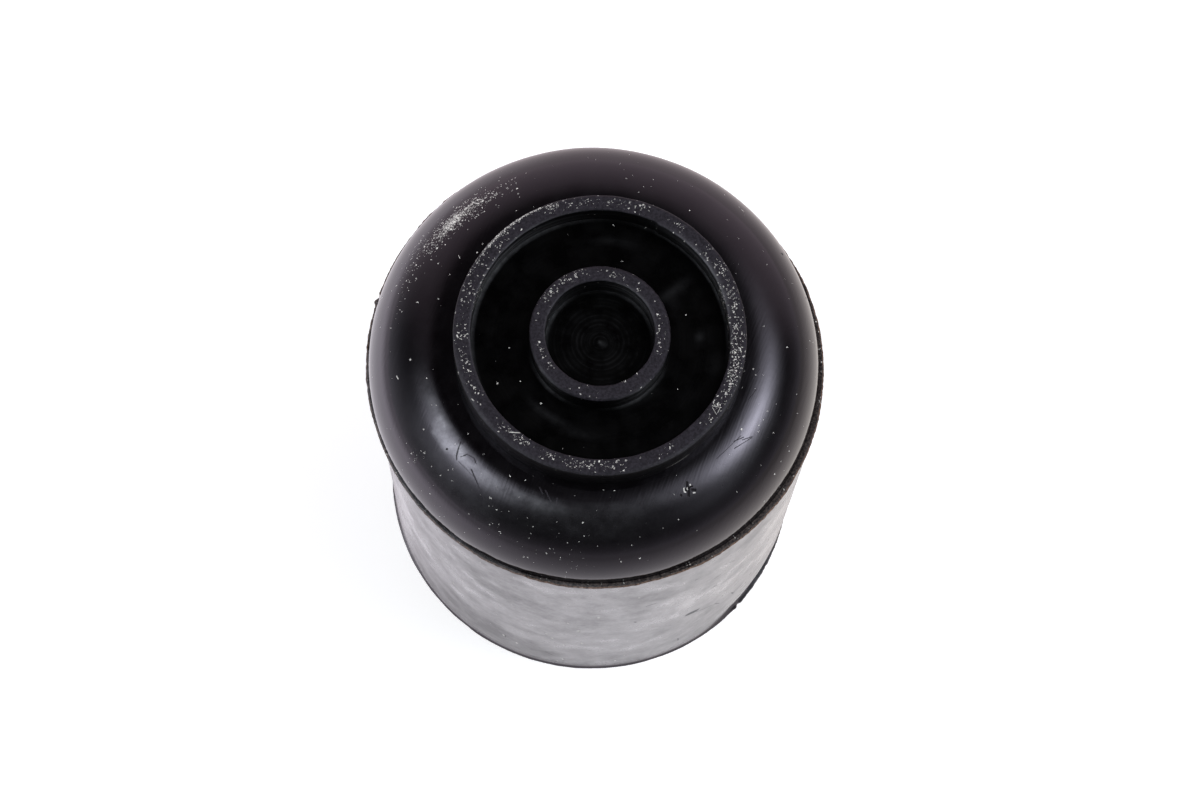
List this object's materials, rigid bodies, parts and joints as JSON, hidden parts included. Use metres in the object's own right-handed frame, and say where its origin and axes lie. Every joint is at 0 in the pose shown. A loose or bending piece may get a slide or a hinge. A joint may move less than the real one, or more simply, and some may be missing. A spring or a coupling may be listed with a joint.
{
  "type": "pole tip",
  "caption": "Moulded rubber pole tip: a drafted body with a ribbed blind socket, a rounded shoulder and a tread of concentric raised rings.",
  "frame": {"origin": "centre of the open mouth's plane, which the tip stands on", "axes": "+Z along the socket's axis, from the open mouth towards the tread; the mould's two halves are a few tenths of a millimetre out of line along X"},
  "size_m": [0.038, 0.038, 0.0433],
  "materials": {
    "black_rubber": "moulded, half gloss, dusty on the tread"
  },
  "bodies": {
    "root": {"rubber_tip": "black_rubber"}
  },
  "joints": []
}
